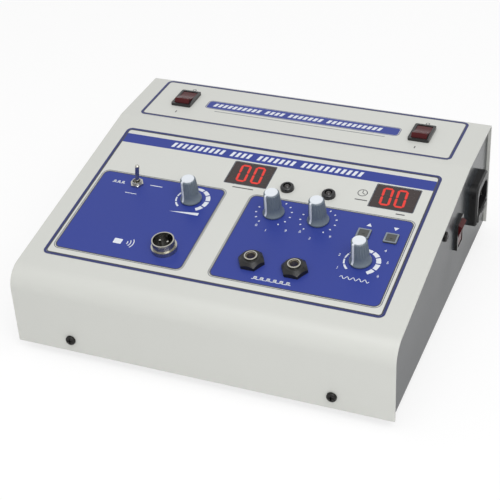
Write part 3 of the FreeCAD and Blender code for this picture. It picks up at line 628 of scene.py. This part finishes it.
for display, x in (("output", 113.9), ("timer", 212.0)):
    low, high = window_row - half_height, window_row + half_height
    frame_line = ring(x - half_width, x + half_width, low, high, 0.9, 0.6)
    print_ink("window_line_" + display, frame_line, "grey")
print("pictograms done")

# %% [markdown]
# ## Rims on the keys and sleeves in the jacks
# Each key has a paler moulded rim round its dark centre. It rides on the key, so it goes down
# with it. Each jack has a dull nickel sleeve inside, which is turned: a profile is spun about the
# jack's axis.

# %% key rims
key_top = {"up": (202.9, 89.2), "down": (220.6, 89.2)}
rim_finish = finish("key_rim", (120, 128, 138), (0.3, 0.42), 0.06, 200, 1500, 0.15)
key_half, rim_width, rim_base, rim_height = 4.2, 1.0, 1.3, 0.12
for name, (x, y) in key_top.items():
    rim_loops = ring(x - key_half, x + key_half, y - key_half, y + key_half, 0.7, rim_width)
    rim_mesh = flat_mesh("key_rim_" + name, rim_loops, rim_height)
    rim_name, key_body = "key_rim_" + name, name + "_button"
    lay(rim_name, rim_mesh, slope_board, rim_base, rim_finish, key_body)

# %% jack sleeves
sleeve_finish = finish("jack_sleeve", (150, 142, 126), (0.3, 0.45), 0.10, 300, 1500, 0.12, 0.8)


def turned(name, profile, x, y, material, count=48):
    """Spins a closed profile of radius and height, in millimetres, about an axis of the slope."""
    vertices, faces = [], []
    size = len(profile)
    for i in range(count):
        turn = 2 * math.pi * i / count
        c, s = math.cos(turn), math.sin(turn)
        for radius, height in profile:
            vertices.append(((x + radius * c) * mm, (y + radius * s) * mm, height * mm))
    for i in range(count):
        for j in range(size):
            here, after = i * size, (i + 1) % count * size
            k = (j + 1) % size
            faces.append((here + j, after + j, after + k, here + k))
    mesh = bpy.data.meshes.new(name)
    mesh.from_pydata(vertices, [], faces)
    return lay(name, mesh, slope_board, 0, material)


sleeve_profile = [
    (0.3, -7.0), (0.3, -6.2), (2.7, -6.0), (2.75, 5.6), (2.9, 5.8), (3.1, 5.7), (3.1, -7.0),
]
jack_row = 48.1
for i, x in enumerate((144.5, 172.5)):
    turned("jack_sleeve_%d" % (i + 1), sleeve_profile, x, jack_row, sleeve_finish)
print("sleeves turned")

# %% [markdown]
# ## Lit digits
# Each display shows two red figures. A figure is seven bars with pointed ends, leaning a little
# to the right. The bars give off their own light, so they stay bright behind the dark window.

# %% seven-segment digits
lit = finish("lit_segment", (96, 14, 10), (0.3, 0.4), 0.04, 300, 1500, 0.05)
lit_shader = lit.node_tree.nodes["Principled BSDF"]
glow = place_group(
    lit, tone_drift, Scale=500.0, Light=screen_color(236, 44, 22), Dark=screen_color(214, 30, 14)
)
lit.node_tree.links.new(glow.outputs["Color"], lit_shader.inputs["Emission Color"])
lit_shader.inputs["Emission Strength"].default_value = 0.85


def bar(x0, y0, x1, y1, width):
    """A bar with pointed ends between two points."""
    dx, dy = x1 - x0, y1 - y0
    length = math.hypot(dx, dy)
    ux, uy = dx / length, dy / length
    w = width / 2
    near, far = w * 1.1, length - w * 1.1
    steps = ((w * 0.1, 0), (near, w), (far, w), (length - w * 0.1, 0), (far, -w), (near, -w))
    return [(x0 + ux * a - uy * b, y0 + uy * a + ux * b) for a, b in steps]


def zero_figure(x, y, width, height, bar_width, lean):
    """The six outer bars of a nought, centred on x, y."""
    w, h = width / 2 - bar_width / 2, height / 2 - bar_width / 2
    ends = [
        (-w, h, w, h), (w, h, w, 0), (w, 0, w, -h),
        (w, -h, -w, -h), (-w, -h, -w, 0), (-w, 0, -w, h),
    ]
    loops = []
    for x0, y0, x1, y1 in ends:
        loops.append([(x + px + lean * py, y + py) for px, py in bar(x0, y0, x1, y1, bar_width)])
    return loops


digit_row = 126.6
digit_width, digit_height = 7.2, 17.0
bar_width = 1.6
digit_lean = -0.06
digit_lift = 0.02
for display, centres in (("output", (108.9, 119.0)), ("timer", (206.4, 215.9))):
    loops = []
    for x in centres:
        loops += zero_figure(x, digit_row, digit_width, digit_height, bar_width, digit_lean)
    mesh = flat_mesh("digits_" + display, loops, ink_thickness)
    lay("digits_" + display, mesh, slope_board, label_top + digit_lift, lit)
print("digits lit")

# %% [markdown]
# ## Floor, backdrop and light
# The console stands on a pale floor under soft light from above and from the front right, at a
# level where a colour comes out about as it is written. The world is white to the camera and in
# reflections. The camera sees part of the floor as pure white, so only a faint shadow is left.

# %% floor
floor_size = 4.0
white_share = 0.78
floor_mesh = bpy.data.meshes.new("floor")
half = floor_size / 2
corners = [(-half, -half, 0), (half, -half, 0), (half, half, 0), (-half, half, 0)]
floor_mesh.from_pydata(corners, [], [(0, 1, 2, 3)])
floor = bpy.data.objects.new("floor", floor_mesh)
floor.location.z = -0.2 * mm
scene.collection.objects.link(floor)
floor_mesh.materials.append(finish("pale_floor", (250, 250, 250), (0.7, 0.8), 0.0, 4, 200, 0.0))
white_floor = floor_mesh.materials[0].node_tree
glow_floor = white_floor.nodes.new("ShaderNodeEmission")
glow_floor.inputs["Strength"].default_value = 1.0
floor_path = white_floor.nodes.new("ShaderNodeLightPath")
share = white_floor.nodes.new("ShaderNodeMath")
share.operation = "MULTIPLY"
share.inputs[1].default_value = white_share
floor_mix = white_floor.nodes.new("ShaderNodeMixShader")
white_floor.links.new(floor_path.outputs["Is Camera Ray"], share.inputs[0])
white_floor.links.new(share.outputs["Value"], floor_mix.inputs["Fac"])
lit_floor = white_floor.nodes["Principled BSDF"]
floor_end = white_floor.nodes["Material Output"]
white_floor.links.new(lit_floor.outputs["BSDF"], floor_mix.inputs[1])
white_floor.links.new(glow_floor.outputs["Emission"], floor_mix.inputs[2])
white_floor.links.new(floor_mix.outputs["Shader"], floor_end.inputs["Surface"])

# %% world
world = bpy.data.worlds.new("studio")
scene.world = world
world.use_nodes = True
tree = world.node_tree
soft = tree.nodes["Background"]
soft.inputs["Color"].default_value = (1, 1, 1, 1)
soft.inputs["Strength"].default_value = 0.55
white = tree.nodes.new("ShaderNodeBackground")
white.inputs["Color"].default_value = (1, 1, 1, 1)
white.inputs["Strength"].default_value = 1.0
path = tree.nodes.new("ShaderNodeLightPath")
seen = tree.nodes.new("ShaderNodeMath")
seen.operation = "MAXIMUM"
tree.links.new(path.outputs["Is Camera Ray"], seen.inputs[0])
bright = tree.nodes.new("ShaderNodeMath")
bright.operation = "MAXIMUM"
tree.links.new(path.outputs["Is Glossy Ray"], bright.inputs[0])
tree.links.new(path.outputs["Is Transmission Ray"], bright.inputs[1])
tree.links.new(bright.outputs["Value"], seen.inputs[1])
choose = tree.nodes.new("ShaderNodeMixShader")
tree.links.new(seen.outputs["Value"], choose.inputs["Fac"])
tree.links.new(soft.outputs["Background"], choose.inputs[1])
tree.links.new(white.outputs["Background"], choose.inputs[2])
tree.links.new(choose.outputs["Shader"], tree.nodes["World Output"].inputs["Surface"])


# %% lamps


def soft_lamp(name, place, target, size, power):
    lamp = bpy.data.lights.new(name, "AREA")
    lamp.shape = "DISK"
    lamp.size = size
    lamp.energy = power
    stand = bpy.data.objects.new(name, lamp)
    stand.location = place
    stand.rotation_euler = (Vector(target) - Vector(place)).to_track_quat("-Z", "Y").to_euler()
    scene.collection.objects.link(stand)


console_middle = (0, -0.05, 0.04)
soft_lamp("key", (0.6, -0.8, 1.1), console_middle, 1.0, 8)
soft_lamp("top", (0.1, -0.35, 1.5), console_middle, 1.2, 7)
scene.view_settings.view_transform = "Standard"
print("lamps", len(bpy.data.lights))

# %% [markdown]
# ## Camera
# A long lens from the front right, a little above the slope, as such equipment is usually shown.

# %% camera
lens = bpy.data.cameras.new("camera")
lens.lens = 97.13
lens.sensor_width = 36.0
camera = bpy.data.objects.new("camera", lens)
right = Vector((0.9286, 0.3682, -0.0466)).normalized()
forward = Vector((-0.3294, 0.76, -0.5603)).normalized()
above = right.cross(forward)
camera.matrix_world = Matrix.Translation((0.28605, -0.68650, 0.53228)) @ Matrix(
    (right, above, -forward)
).transposed().to_4x4()
scene.collection.objects.link(camera)
scene.camera = camera
